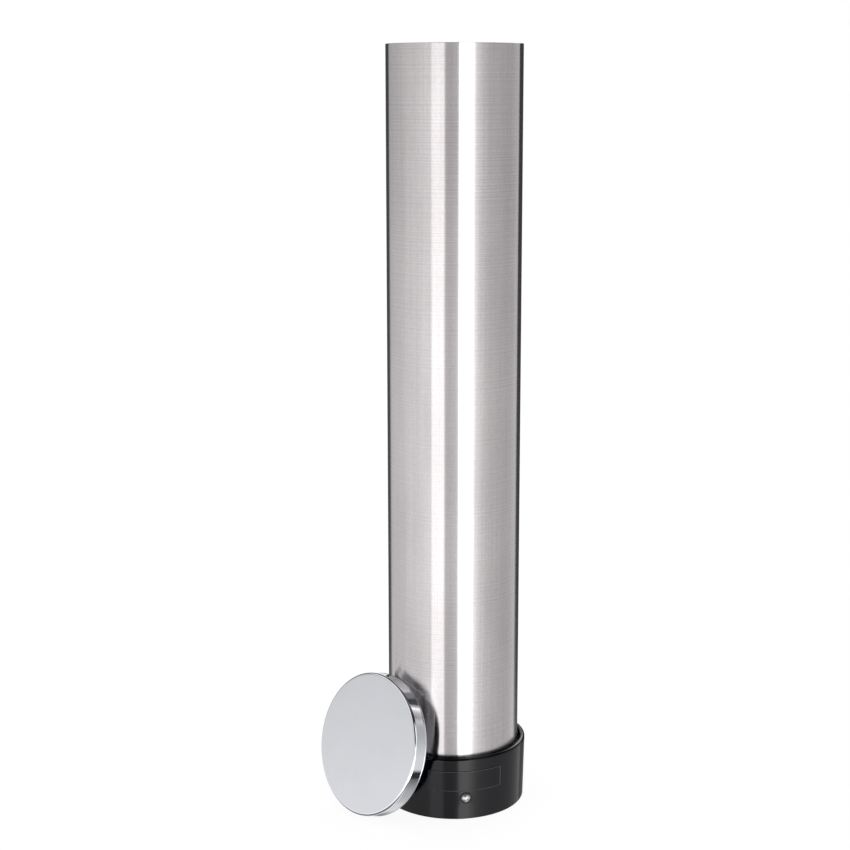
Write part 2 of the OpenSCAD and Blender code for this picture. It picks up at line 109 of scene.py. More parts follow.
camera = bpy.data.objects.new("camera", bpy.data.cameras.new("camera"))
camera.data.sensor_width = SENSOR
camera.data.lens = FOCAL_PX * SENSOR / IMAGE_PX
camera.data.clip_start = 0.05
camera.data.clip_end = 50
camera_axes = Matrix((right, up, -forward)).transposed().to_4x4()
camera.matrix_world = Matrix.Translation(CAMERA_PLACE) @ camera_axes
bpy.context.scene.collection.objects.link(camera)
bpy.context.scene.camera = camera
print("lens", round(camera.data.lens, 2), "mm")

# %% [markdown]
# ## Node helpers
#
# Shader trees are easier to read when a node and its inputs are made in one call. The
# helper takes the inputs by name or number: a plain value is set on the socket, and
# another node's socket is linked to it.

# %% Node helpers


def add(tree, kind, settings=None, inputs=None):
    """A new node of that kind, with its settings made and its inputs set or linked."""
    node = tree.nodes.new(kind)
    for name, value in (settings or {}).items():
        setattr(node, name, value)
    for key, value in (inputs or {}).items():
        if isinstance(value, bpy.types.NodeSocket):
            tree.links.new(value, node.inputs[key])
        else:
            node.inputs[key].default_value = value
    return node


def maths(tree, operation, a, b=0.0, c=0.0):
    """One arithmetic step on values or sockets."""
    made = add(tree, "ShaderNodeMath", {"operation": operation}, {0: a, 1: b, 2: c})
    return made.outputs[0]


def stretch(tree, value, low, high, new_low, new_high):
    """The value mapped in a straight line from one range to another, and held inside it."""
    made = add(tree, "ShaderNodeMapRange", None,
               {"Value": value, "From Min": low, "From Max": high,
                "To Min": new_low, "To Max": new_high})
    return made.outputs["Result"]


def noise(tree, vector, scale, detail=2.0, roughness=0.5):
    """Soft random blotches between 0 and 1."""
    made = add(tree, "ShaderNodeTexNoise", None,
               {"Vector": vector, "Scale": scale, "Detail": detail, "Roughness": roughness})
    return made.outputs["Fac"]


# %% [markdown]
# ## Studio
#
# Polished metal shows its surroundings more than its own colour, so the studio is half of
# the material. In the photograph two tall soft boxes stand left and right of the camera,
# the room between and beside them is pale grey, and black boards behind the object draw
# the thin dark lines down the tube's two edges. The same studio could be built from lamp
# panels. Here it is painted on the world, by compass angle round the object, because a
# world that far away lights every view evenly and without noise.
#
# Each entry of the table is one place on the studio's wall: its compass angle, how bright
# it is, the height in degrees where its top edge lies, how bright the table top is below
# it, and the share of its light that is left towards its top and bottom. One colour ramp
# holds all four numbers as red, green, blue and alpha.

# %% Studio walls
# compass angle from the camera's side (degrees, positive to the picture's right),
# brightness, top edge (degrees), table top's brightness, share left at top and bottom
STUDIO = [
    # the wall right behind the object, and the left black board
    (-180, 0.90, 55, 0.8, 0.9), (-173, 0.90, 55, 0.8, 0.9),
    (-171, 0.06, 25, 0.8, 0.7), (-144, 0.05, 25, 0.7, 0.7),
    # the left wall, brighter towards the camera
    (-141, 0.68, 36, 0.5, 0.62), (-126, 0.80, 46, 0.35, 0.58), (-97, 0.96, 50, 0.2, 0.56),
    (-89, 1.08, 51, 0.2, 0.56), (-65, 1.21, 52, 0.2, 0.54), (-50, 1.39, 48, 0.2, 0.52),
    # the left soft box
    (-39, 1.46, 26, 0.2, 0.52), (-37.8, 2.30, 22, 0.2, 0.52), (-16.3, 2.34, 20, 0.2, 0.50),
    # the room between the soft boxes
    (-15.3, 0.98, 10, 0.3, 0.6), (-5, 0.96, 10, 0.6, 0.6), (2, 1.07, 10, 0.8, 0.6),
    (7.5, 1.22, 10, 0.8, 0.6),
    # the right soft box and its soft outer edge
    (8.8, 3.80, 20, 0.8, 0.8), (25, 3.80, 20, 0.8, 0.8), (27, 3.20, 48, 0.8, 0.8),
    (32, 2.45, 48, 0.8, 0.8), (36, 1.52, 48, 0.8, 0.60),
    # the right wall, darkest out at the side
    (46, 1.11, 46, 0.8, 0.56), (61, 0.84, 42, 0.6, 0.55), (75, 0.72, 30, 0.43, 0.72),
    (102, 0.59, 24, 0.43, 0.8), (118, 0.61, 24, 0.5, 0.8), (137, 0.74, 24, 0.6, 0.85),
    # the right black board, and the wall behind again
    (139.7, 0.03, 24, 0.7, 0.8), (171, 0.03, 32, 0.8, 0.8),
    (173, 0.90, 55, 0.8, 0.9), (180, 0.90, 55, 0.8, 0.9),
]

world = bpy.data.worlds.new("studio")
bpy.context.scene.world = world
world.use_nodes = True
sky = world.node_tree
sky.nodes.clear()

compass = add(sky, "ShaderNodeTexCoord")
toward_camera = Vector((CAMERA_PLACE.x, CAMERA_PLACE.y, 0)).normalized()
picture_right = Vector((-toward_camera.y, toward_camera.x, 0))
ahead = add(sky, "ShaderNodeVectorMath", {"operation": "DOT_PRODUCT"},
            {0: compass.outputs["Generated"], 1: toward_camera})
aside = add(sky, "ShaderNodeVectorMath", {"operation": "DOT_PRODUCT"},
            {0: compass.outputs["Generated"], 1: picture_right})
angle = maths(sky, "ARCTAN2", aside.outputs["Value"], ahead.outputs["Value"])
share = maths(sky, "MULTIPLY_ADD", angle, 1 / (2 * math.pi), 0.5)
around = add(sky, "ShaderNodeValToRGB", None, {"Fac": share})
stops = around.color_ramp.elements
while len(stops) < len(STUDIO):
    stops.new(0.5)
BRIGHTEST = 4.0
RIGHT_ANGLE = 90
for stop, (degrees, value, top, table, left_over) in zip(stops, STUDIO):
    stop.position = degrees / 360 + 0.5
    stop.color = (value / BRIGHTEST, top / RIGHT_ANGLE, table / BRIGHTEST, left_over)
print(len(stops), "stops round the studio")

# %% [markdown]
# The height of a direction above the horizon says which part of the studio it meets, from
# below upwards: the table top, a dark gap past its edge, the walls, the dark room above
# them and the ceiling's soft light.
#
# The walls are brightest a little below the horizon. Below that they fade towards their
# foot, except at the picture's right, and above it they fade upwards. Far out at both
# sides a row of upper lamps takes the upward fade away again. It hangs lower at the
# picture's right than at its left.

# %% Heights in the studio
ROOM_DARK = 0.03
CEILING = 0.12
BEHIND = 0.2
parts = add(sky, "ShaderNodeSeparateColor", None, {"Color": around.outputs["Color"]})
upright = add(sky, "ShaderNodeSeparateXYZ", None, {"Vector": compass.outputs["Generated"]}).outputs["Z"]
height = maths(sky, "MULTIPLY", maths(sky, "ARCSINE", upright), 2 / math.pi)
sideways = aside.outputs["Value"]


def by_height(low, high, new_low, new_high, measured=height):
    """A value that changes in a straight line between two heights in degrees."""
    return stretch(sky, measured, low / RIGHT_ANGLE, high / RIGHT_ANGLE, new_low, new_high)


def faded(factor, share):
    """1 where the factor is 1, and the share where it is 0."""
    made = add(sky, "ShaderNodeMix", {"data_type": "FLOAT"}, {"Factor": factor, "A": share, "B": 1.0})
    return made.outputs["Result"]


# %% Walls
past_top = maths(sky, "SUBTRACT", height, parts.outputs["Green"])
wall_share = maths(sky, "MULTIPLY", by_height(-33, -29, 0.0, 1.0),
                   by_height(-3, 3, 1.0, 0.0, measured=past_top))
at_right = stretch(sky, sideways, 0.3, 0.5, 0.0, 1.0)
low_share = maths(sky, "MAXIMUM", around.outputs["Alpha"], at_right)
low_fade = faded(by_height(-27, -17, 0.0, 1.0), low_share)

at_sides = stretch(sky, maths(sky, "ABSOLUTE", sideways), 0.45, 0.55, 0.0, 1.0)
lamps_start = stretch(sky, sideways, -0.3, 0.3, 27 / RIGHT_ANGLE, 17 / RIGHT_ANGLE)
past_lamps = maths(sky, "SUBTRACT", height, lamps_start)
upper_lamps = maths(sky, "MULTIPLY", at_sides, by_height(0, 5, 0.0, 1.0, measured=past_lamps))
high_share = maths(sky, "MULTIPLY", around.outputs["Alpha"], 0.85)
high_fade = faded(maths(sky, "MAXIMUM", by_height(-15, 9, 1.0, 0.0), upper_lamps), high_share)

wall_share = maths(sky, "MULTIPLY", maths(sky, "MULTIPLY", wall_share, low_fade), high_fade)
walls = maths(sky, "MULTIPLY", maths(sky, "MULTIPLY", parts.outputs["Red"], BRIGHTEST), wall_share)

# %% Table top, ceiling and the sum
# Three factors of the table top: it darkens towards its edge, ends there at 40 degrees
# below the horizon, and is brightest straight below.
table_share = maths(sky, "MULTIPLY", by_height(-56, -40, 0.9, 0.2), by_height(-41, -39, 1.0, 0.0))
table_share = maths(sky, "MULTIPLY", table_share, by_height(-74, -62, 1.35, 1.0))
table = maths(sky, "MULTIPLY", maths(sky, "MULTIPLY", parts.outputs["Blue"], BRIGHTEST), table_share)
behind = maths(sky, "MULTIPLY", stretch(sky, ahead.outputs["Value"], -0.62, -0.68, 0.0, 1.0),
               by_height(-24, -20, 1.0, 0.0))
table = maths(sky, "MAXIMUM", table, maths(sky, "MULTIPLY", behind, BEHIND))
ceiling = maths(sky, "MULTIPLY", by_height(58, 66, 0.0, 1.0), CEILING)
mirrored = maths(sky, "ADD", maths(sky, "ADD", walls, table), maths(sky, "ADD", ceiling, ROOM_DARK))
print("studio brightness up to", BRIGHTEST)

# %% [markdown]
# One more small lamp stands high behind the object, on the picture's right. It draws the
# bright arc on the collar's rim there.

# %% Rim lamp
LAMP_COMPASS = math.radians(161)
LAMP_HEIGHT = math.radians(34)
LAMP_BRIGHT = 3.0
LAMP_EDGE = math.radians(19)
LAMP_CORE = math.radians(11)
lamp_way = toward_camera * math.cos(LAMP_COMPASS) + picture_right * math.sin(LAMP_COMPASS)
lamp_way = lamp_way * math.cos(LAMP_HEIGHT) + Vector((0, 0, math.sin(LAMP_HEIGHT)))
nearness = add(sky, "ShaderNodeVectorMath", {"operation": "DOT_PRODUCT"},
               {0: compass.outputs["Generated"], 1: lamp_way})
lamp_share = stretch(sky, nearness.outputs["Value"], math.cos(LAMP_EDGE), math.cos(LAMP_CORE), 0.0, 1.0)
mirrored = maths(sky, "MULTIPLY_ADD", lamp_share, LAMP_BRIGHT, mirrored)
print("rim lamp towards", [round(v, 2) for v in lamp_way])

# %% [markdown]
# Matt surfaces take in light from the whole room at once, so they get its plain average.
# That keeps them free of noise. Camera rays see plain white.

# %% Studio for matt surfaces and for the camera
ROOM_AVERAGE = 0.85
rays = add(sky, "ShaderNodeLightPath")
seen_by_matt = add(sky, "ShaderNodeMix", {"data_type": "FLOAT"},
                   {"Factor": rays.outputs["Is Diffuse Ray"], "A": mirrored, "B": ROOM_AVERAGE})
strength = add(sky, "ShaderNodeMix", {"data_type": "FLOAT"},
               {"Factor": rays.outputs["Is Camera Ray"], "A": seen_by_matt.outputs["Result"], "B": 1.0})
backdrop = add(sky, "ShaderNodeBackground", None,
               {"Color": (1, 1, 1, 1), "Strength": strength.outputs["Result"]})
add(sky, "ShaderNodeOutputWorld", None, {"Surface": backdrop.outputs["Background"]})
print("world has", len(sky.nodes), "nodes")

# %% [markdown]
# ## Floor
#
# The picture's background is plain white, with hardly a shadow. The floor is one flat
# sheet: most of what the camera sees of it is plain white light, and the rest is a matt
# white that keeps a faint shadow where the collar and the cap stand. Mirror-like pieces
# don't see the sheet, because the world already holds the studio's pale floor.

# %% Floor
FLOOR_HALF = 6.0
FLOOR_GLOW = 1.04
FLOOR_WHITE_SHARE = 0.88
floor_corners = [(-FLOOR_HALF, -FLOOR_HALF, 0), (FLOOR_HALF, -FLOOR_HALF, 0),
                 (FLOOR_HALF, FLOOR_HALF, 0), (-FLOOR_HALF, FLOOR_HALF, 0)]
floor_mesh = bpy.data.meshes.new("floor")
floor_mesh.from_pydata(floor_corners, [], [(0, 1, 2, 3)])
floor = bpy.data.objects.new("floor", floor_mesh)
bpy.context.scene.collection.objects.link(floor)
floor.visible_glossy = False
paper = bpy.data.materials.new("floor_paper")
paper.use_nodes = True
tree = paper.node_tree
tree.nodes.clear()
matt = add(tree, "ShaderNodeBsdfDiffuse", None, {"Color": (0.9, 0.9, 0.9, 1)})
glow = add(tree, "ShaderNodeEmission", None, {"Color": (1, 1, 1, 1), "Strength": FLOOR_GLOW})
rays = add(tree, "ShaderNodeLightPath")
white_share = maths(tree, "MULTIPLY", rays.outputs["Is Camera Ray"], FLOOR_WHITE_SHARE)
mixed = add(tree, "ShaderNodeMixShader", None,
            {0: white_share, 1: matt.outputs[0], 2: glow.outputs[0]})
add(tree, "ShaderNodeOutputMaterial", None, {"Surface": mixed.outputs[0]})
floor_mesh.materials.append(paper)
print("floor", 2 * FLOOR_HALF, "m across")

# %% [markdown]
# ## Patterns that several finishes share
#
# A node group is a pattern with its own name, inputs and outputs. Each is built once and
# placed in every material that needs it:
#
# - `brush_lines`: fine lines across the Z axis, as an abrasive belt leaves them. Each
#   groove is paired with the ridge beside it, as the difference of the same noise read
#   at two places, so no broad light and dark bands are left in it
# - `clouding`: broad soft patches, where sheet metal or plastic isn't quite even
# - `fine_grain`: the tiny pebbling of moulded plastic and rubber
#
# All of them read object coordinates, so they stay put on the piece when it moves.

# %% Group helper


def new_group(name, inputs, outputs):
    """An empty node group with those sockets, and its input and output nodes."""
    group = bpy.data.node_groups.new(name, "ShaderNodeTree")
    for socket, kind, default in inputs:
        made = group.interface.new_socket(socket, in_out="INPUT", socket_type=kind)
        if default is not None:
            made.default_value = default
    for socket, kind in outputs:
        group.interface.new_socket(socket, in_out="OUTPUT", socket_type=kind)
    return group, group.nodes.new("NodeGroupInput"), group.nodes.new("NodeGroupOutput")


# %% Brush lines
lines_group, given, result = new_group(
    "brush_lines",
    [("Vector", "NodeSocketVector", None), ("Along", "NodeSocketFloat", 8.0),
     ("Across", "NodeSocketFloat", 900.0)],
    [("Lines", "NodeSocketFloat"), ("Height", "NodeSocketFloat")])
scales = add(lines_group, "ShaderNodeCombineXYZ", None,
             {"X": given.outputs["Along"], "Y": given.outputs["Along"],
              "Z": given.outputs["Across"]})
stretched = add(lines_group, "ShaderNodeVectorMath", {"operation": "MULTIPLY"},
                {0: given.outputs["Vector"], 1: scales.outputs["Vector"]})
beside = add(lines_group, "ShaderNodeVectorMath", {"operation": "ADD"},
             {0: stretched.outputs["Vector"], 1: (0.0, 0.0, 1.0)})
grooves = noise(lines_group, stretched.outputs["Vector"], 1.0, 1.0, 0.6)
ridges = noise(lines_group, beside.outputs["Vector"], 1.0, 1.0, 0.6)
hair_lines = noise(lines_group, stretched.outputs["Vector"], 4.3, 2.0, 0.7)
pairs = maths(lines_group, "SUBTRACT", grooves, ridges)
PAIR_REACH = 0.35
line_tone = stretch(lines_group, pairs, -PAIR_REACH, PAIR_REACH, 0.0, 1.0)
lines_group.links.new(line_tone, result.inputs["Lines"])
lines_group.links.new(hair_lines, result.inputs["Height"])
print("group", lines_group.name)

# %% Clouding
cloud_group, given, result = new_group(
    "clouding",
    [("Vector", "NodeSocketVector", None), ("Size", "NodeSocketFloat", 14.0),
     ("Upright", "NodeSocketFloat", 0.35)],
    [("Cloud", "NodeSocketFloat")])
scales = add(cloud_group, "ShaderNodeCombineXYZ", None,
             {"X": 1.0, "Y": 1.0, "Z": given.outputs["Upright"]})
stretched = add(cloud_group, "ShaderNodeVectorMath", {"operation": "MULTIPLY"},
                {0: given.outputs["Vector"], 1: scales.outputs["Vector"]})
patches = noise(cloud_group, stretched.outputs["Vector"], given.outputs["Size"], 4.0, 0.6)
cloud_group.links.new(stretch(cloud_group, patches, 0.3, 0.7, 0.0, 1.0), result.inputs["Cloud"])
print("group", cloud_group.name)

# %% Fine grain
grain_group, given, result = new_group(
    "fine_grain",
    [("Vector", "NodeSocketVector", None), ("Scale", "NodeSocketFloat", 1800.0)],
    [("Height", "NodeSocketFloat")])
pebbles = noise(grain_group, given.outputs["Vector"], given.outputs["Scale"], 2.0, 0.5)
grain_group.links.new(pebbles, result.inputs["Height"])
print("group", grain_group.name)

# %% [markdown]
# ## Finishes
#
# Every material starts from the same Principled shader. A number that is the same all
# over the surface is typed on the shader's own socket, and only what changes from place
# to place is linked.

# %% Material helpers


def new_material(name, constants):
    """A material with one Principled shader, whose constants are set by socket name."""
    material = bpy.data.materials.new(name)
    material.use_nodes = True
    tree = material.node_tree
    shader = tree.nodes["Principled BSDF"]
    for key, value in constants.items():
        shader.inputs[key].default_value = value
    place = add(tree, "ShaderNodeTexCoord").outputs["Object"]
    return material, tree, shader, place


def place_group(tree, group, inputs):
    """The node group set in a material's tree."""
    return add(tree, "ShaderNodeGroup", {"node_tree": group}, inputs)


def tinted(tree, factor, dark, light):
    """A colour between two others, by the factor."""
    made = add(tree, "ShaderNodeMix", {"data_type": "RGBA"},
               {"Factor": factor, "A": (*dark, 1), "B": (*light, 1)})
    return made.outputs["Result"]


def bumped(tree, shader, bumps, distance, strength):
    """Feeds the bumps, in units of distance, to the shader's normal."""
    made = add(tree, "ShaderNodeBump", None,
               {"Height": bumps, "Distance": distance, "Strength": strength})
    tree.links.new(made.outputs["Normal"], shader.inputs["Normal"])


def finished(tree, shader, pattern, dark, light, rough_low, rough_high):
    """Lets one pattern carry the colour and the roughness, each from low to high."""
    tree.links.new(tinted(tree, pattern, dark, light), shader.inputs["Base Color"])
    tree.links.new(stretch(tree, pattern, 0.0, 1.0, rough_low, rough_high), shader.inputs["Roughness"])


# %% [markdown]
# ### Brushed steel
#
# The tube was brushed round and round, so each fine groove runs level. Grooves spread a
# reflection across themselves: upwards and downwards here, and hardly sideways. That is
# why the soft boxes show as clean upright stripes from the top of the tube to its foot.
# The shader's Anisotropic value does the spreading. Its direction starts out round the
# Z axis, and a quarter turn makes it upright.
#
# Three sets of brush lines and some clouding share the colour: long level lines, short
# strokes, and faint upright streaks. Only the long lines change the roughness, and they
# are a shallow bump as well, which is what makes them glint.

# %% Brushed steel
tube_steel, tree, shader, place = new_material(
    "brushed_tube_steel", {"Metallic": 1.0, "Anisotropic": 1.0, "Anisotropic Rotation": 0.25})
lines = place_group(tree, lines_group, {"Vector": place, "Along": 7.0, "Across": 1150.0})
strokes = place_group(tree, lines_group, {"Vector": place, "Along": 800.0, "Across": 260.0})
streaks = place_group(tree, lines_group, {"Vector": place, "Along": 700.0, "Across": 7.0})
cloud = place_group(tree, cloud_group, {"Vector": place, "Size": 24.0, "Upright": 0.4})
tone = 0.0
for pattern, weight in ((lines.outputs["Lines"], 0.36), (strokes.outputs["Lines"], 0.15),
                        (streaks.outputs["Lines"], 0.20), (cloud.outputs["Cloud"], 0.30)):
    tone = maths(tree, "MULTIPLY_ADD", pattern, weight, tone)
steel_tint = tinted(tree, tone, (0.510, 0.484, 0.489), (0.765, 0.727, 0.733))
steel_rough = stretch(tree, lines.outputs["Lines"], 0.0, 1.0, 0.18, 0.21)
tree.links.new(steel_tint, shader.inputs["Base Color"])
tree.links.new(steel_rough, shader.inputs["Roughness"])
bumped(tree, shader, lines.outputs["Lines"], 0.03 * MM, 0.14)
print("material", tube_steel.name)

# %% [markdown]
# ### Chrome
#
# Plated steel is close to a perfect mirror. Only a faint, patchy haze keeps it from
# looking like glass. The screw heads are duller than the cap.

# %% Chrome


def chrome(name, size, dark, light, rough_low, rough_high):
    """A plated metal whose haze lies in soft patches; a larger size number makes them smaller."""
    material, tree, shader, place = new_material(name, {"Metallic": 1.0})
    cloud = place_group(tree, cloud_group, {"Vector": place, "Size": size, "Upright": 1.0})
    finished(tree, shader, cloud.outputs["Cloud"], dark, light, rough_low, rough_high)
    return material


cap_chrome = chrome("cap_chrome", 22.0, (0.866, 0.876, 0.920), (0.906, 0.916, 0.960), 0.035, 0.075)
screw_chrome = chrome("screw_chrome", 300.0, (0.78, 0.775, 0.77), (0.84, 0.835, 0.83), 0.36, 0.40)
print("materials", cap_chrome.name, screw_chrome.name)

# %% [markdown]
# ### Black mouldings and rubber
#
# The collar is a glossy black moulding with faint upright flow marks. The throat pieces
# inside it are a plainer satin black, and the gasket, the washers and the cap's ring are
# soft and dull. They differ in roughness and in how strong the fine grain is.

# %% Black mouldings


def moulding(name, dark, light, rough_low, rough_high, grain_scale, grain_depth, shine=0.5):
    """A moulded plastic or rubber: clouded colour and roughness, with a fine grain."""
    material, tree, shader, place = new_material(name, {"Metallic": 0.0, "Specular IOR Level": shine})
    cloud = place_group(tree, cloud_group, {"Vector": place, "Size": 60.0, "Upright": 0.25})
    grain = place_group(tree, grain_group, {"Vector": place, "Scale": grain_scale})
    finished(tree, shader, cloud.outputs["Cloud"], dark, light, rough_low, rough_high)
    bumped(tree, shader, grain.outputs["Height"], grain_depth, 0.6)
    return material


collar_black = moulding("collar_black", (0.0010, 0.0011, 0.0032), (0.0020, 0.0021, 0.0052),
                        0.10, 0.15, 1000.0, 0.01 * MM, shine=0.33)
throat_black = moulding("throat_black", (0.020, 0.020, 0.021), (0.032, 0.032, 0.034),
                        0.38, 0.5, 1500.0, 0.03 * MM)
finger_grey = moulding("finger_grey", (0.040, 0.040, 0.043), (0.055, 0.055, 0.058),
                       0.4, 0.5, 1500.0, 0.03 * MM)
soft_black = moulding("soft_black", (0.012, 0.012, 0.012), (0.022, 0.022, 0.022),
                      0.6, 0.75, 2200.0, 0.05 * MM)
print("mouldings", [m.name for m in (collar_black, throat_black, finger_grey, soft_black)])

# %% [markdown]
# ### Small metal parts
#
# Brackets are pressed from brushed sheet, rivets are dull aluminium, screws and pins are
# plain bright steel and the inserts are turned brass.

# %% Small metal parts


def small_metal(name, dark, light, rough_low, rough_high, along, across):
    """A plain metal with faint lines in its colour and roughness."""
    material, tree, shader, place = new_material(name, {"Metallic": 1.0})
    lines = place_group(tree, lines_group, {"Vector": place, "Along": along, "Across": across})
    finished(tree, shader, lines.outputs["Lines"], dark, light, rough_low, rough_high)
    bumped(tree, shader, lines.outputs["Height"], 0.01 * MM, 0.4)
    return material


bracket_steel = small_metal("bracket_steel", (0.50, 0.49, 0.48), (0.62, 0.61, 0.60),
                            0.30, 0.42, 60.0, 1600.0)
rivet_metal = small_metal("rivet_aluminium", (0.62, 0.62, 0.62), (0.74, 0.74, 0.74),
                          0.32, 0.45, 500.0, 700.0)
plain_steel = small_metal("plain_steel", (0.52, 0.52, 0.53), (0.64, 0.64, 0.65),
                          0.22, 0.34, 300.0, 1500.0)
insert_brass = small_metal("insert_brass", (0.70, 0.50, 0.20), (0.82, 0.62, 0.30),
                           0.2, 0.3, 300.0, 1500.0)
print("metals", [m.name for m in (bracket_steel, rivet_metal, plain_steel, insert_brass)])

# %% [markdown]
# ## Surfaces from arrays
#
# Most of this object was turned, drawn or rolled, so its surfaces are profiles carried
# round an axis. A grid of points is worked out as one array and handed to the mesh in a
# single call. Rows run along the profile and columns run round the axis.

# %% Grid mesh


def grid_mesh(name, points, closed_rows=False, closed_columns=True, poles=False, uv=None):
    """An object whose faces join neighbours in a (rows, columns, 3) grid of points.

    A closed direction joins its last line to its first; rows are closed only together
    with columns. Poles are a first and a last row whose points all meet: each becomes one
    vertex with a fan of triangles. Faces run so that the outside is on the left of the
    profile's direction, seen with the axis upwards.
    """
    rows, columns = points.shape[:2]
    number = np.arange(rows * columns).reshape(rows, columns)
    if poles:
        number[0] = number[0, 0]
        number[-1] = number[-1, 0]
    below = number if closed_rows else number[:-1]
    above = np.roll(number, -1, axis=0) if closed_rows else number[1:]
    if closed_columns:
        next_below, next_above = np.roll(below, -1, axis=1), np.roll(above, -1, axis=1)
    else:
        next_below, next_above = below[:, 1:], above[:, 1:]
        below, above = below[:, :-1], above[:, :-1]
    quads = np.stack([below, next_below, next_above, above], axis=-1).reshape(-1, 4)
    used, compact = np.unique(quads, return_inverse=True)
    quads = compact.reshape(-1, 4)
    faces = [tuple(dict.fromkeys(q)) for q in quads.tolist()]
    mesh = bpy.data.meshes.new(name)
    mesh.from_pydata(points.reshape(-1, 3)[used].tolist(), [], faces)
    mesh.polygons.foreach_set("use_smooth", np.ones(len(faces), bool))
    if uv is not None:
        layer = mesh.uv_layers.new(name="UVMap")
        corner = np.zeros(len(mesh.loops), np.int32)
        mesh.loops.foreach_get("vertex_index", corner)
        layer.data.foreach_set("uv", uv.reshape(-1, 2)[used][corner].astype(np.float32).ravel())
    mesh.update()
    made = bpy.data.objects.new(name, mesh)
    bpy.context.scene.collection.objects.link(made)
    print(name, len(mesh.vertices), "vertices,", len(mesh.polygons), "faces")
    return made


def rounded_profile(corners, radii, steps=6, hold=0.04 * MM):
    """A line of (radius, height) points through the corners, each rounded by its radius.

    At a corner the line leaves straight, radius times the cotangent of half the corner's
    angle early, and follows a circle's arc to the next straight. Two more points just
    outside each arc hold the shading of the flats beside it.
    """
    corners = np.asarray(corners, float)
    made = [corners[0]]
    for k in range(1, len(corners) - 1):
        before = corners[k - 1] - corners[k]
        after = corners[k + 1] - corners[k]
        before, after = before / np.linalg.norm(before), after / np.linalg.norm(after)
        half = math.acos(float(np.clip(before @ after, -1, 1))) / 2
        radius = radii[k]
        if radius <= 0:
            made.append(corners[k])
            continue
        inwards = (before + after) / np.linalg.norm(before + after)
        middle = corners[k] + inwards * radius / math.sin(half)
        start = corners[k] + before * radius / math.tan(half)
        end = corners[k] + after * radius / math.tan(half)
        sweep = np.linspace(0, 1, steps + 1)[:, None]
        chord = (start - middle) * (1 - sweep) + (end - middle) * sweep
        arc = middle + chord / np.linalg.norm(chord, axis=1)[:, None] * radius
        made += [start + before * hold, *arc, end + after * hold]
    made.append(corners[-1])
    return np.array(made)


def lathe(profile, angles):
    """Points of a profile of (radius, height) carried round the Z axis.

    x = radius times cos(angle), y = radius times sin(angle), z = height
    """
    r, z = profile[:, 0, None], profile[:, 1, None]
    a = angles[None, :]
    return np.stack([r * np.cos(a), r * np.sin(a), z + 0 * a], axis=-1)


# %% [markdown]
# ## Tube
#
# The tube is rolled from thin sheet and closed by a seam down its back. A CAD mesh draws
# it with a few dozen flats, which would break up the long reflections, so a finer surface
# replaces it: one closed profile, up the outside, over the rim, down the inside and back.
# The seam is a shallow groove, so the outer radius depends on the angle there.

# %% Tube
WALL = 0.8 * MM
RIM_EDGE = 0.25 * MM
SEAM_WIDTH = 0.6 * MM
SEAM_DEPTH = 0.2 * MM

inner_r = tube_r - WALL
outline = rounded_profile(
    [(tube_r, tube_foot + 30 * MM), (tube_r, tube_top), (inner_r, tube_top), (inner_r, tube_foot),
     (tube_r, tube_foot), (tube_r, tube_foot + 30 * MM)],
    [0, RIM_EDGE, RIM_EDGE, RIM_EDGE, RIM_EDGE, 0], steps=4)[:-1]
even = np.linspace(0, 2 * math.pi, 288, endpoint=False)
near_seam = math.pi / 2 + np.linspace(-1, 1, 13) * SEAM_WIDTH / tube_r
clear_of_seam = np.abs(even - math.pi / 2) > 1.2 * SEAM_WIDTH / tube_r
round_angles = np.sort(np.concatenate([even[clear_of_seam], near_seam]))
points = lathe(outline, round_angles)
away = np.abs(round_angles - math.pi / 2) * tube_r / (SEAM_WIDTH / 2)
groove = SEAM_DEPTH * np.clip(1 - away ** 2, 0, 1)
outside = (outline[:, 0] > tube_r - 0.5 * WALL)[:, None]
shrink = np.where(outside, 1 - groove[None, :] / tube_r, 1.0)
points[..., :2] *= shrink[..., None]
tube = grid_mesh("tube_shell", points, closed_rows=True)
tube.data.materials.append(tube_steel)
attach(tube, "housing")
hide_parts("tube")

# %% [markdown]
# ## Cap
#
# The cap is a shallow dish of plated steel. It was turned, so a profile carried round its
# own axis gives it, and the finished grid is then stood up where the CAD cap leans. The
# edge between face and skirt is rounded, and the open edge is rolled over a little, which
# is what draws the thin bright line round it.

# %% Cap
CAP_R = 56.0 * MM
CAP_DEPTH = 12.0 * MM
CAP_WALL = 1.6 * MM
CAP_LEAN = math.radians(16.3)
CAP_TURN = math.radians(-90 - 57.6)
CAP_OFFSET = 14.903 * MM
CAP_REACH = 79.089 * MM
CAP_MIDDLE = 57.117 * MM

BEAD_OUT = 0.25 * MM
BEAD_UP = 1.1 * MM
skirt_r = CAP_R - BEAD_OUT
cap_outline = rounded_profile(
    [(0, 0), (skirt_r, 0), (skirt_r, BEAD_UP + BEAD_OUT - CAP_DEPTH),
     (CAP_R, BEAD_UP - CAP_DEPTH), (CAP_R, -CAP_DEPTH), (CAP_R - CAP_WALL, -CAP_DEPTH),
     (CAP_R - CAP_WALL, -CAP_WALL), (0, -CAP_WALL)],
    [0, 2.0 * MM, 0.2 * MM, 0.45 * MM, 0.55 * MM, 0.6 * MM, 1.0 * MM, 0], steps=8)
cap_angles = np.linspace(0, 2 * math.pi, 240, endpoint=False)
cap_points = lathe(cap_outline[::-1], cap_angles)
stood = (Matrix.Rotation(CAP_TURN, 4, "Z") @ Matrix.Translation((CAP_REACH, -CAP_OFFSET, CAP_MIDDLE))
         @ Matrix.Rotation(math.pi / 2 - CAP_LEAN, 4, "Y"))
turn = np.array(stood)
cap_points = cap_points @ turn[:3, :3].T + turn[:3, 3]
cap = grid_mesh("cap_dish", cap_points, poles=True)
cap.data.materials.append(cap_chrome)
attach(cap, "cap")
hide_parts("cap_shell")
shell_low, shell_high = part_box("cap_shell")
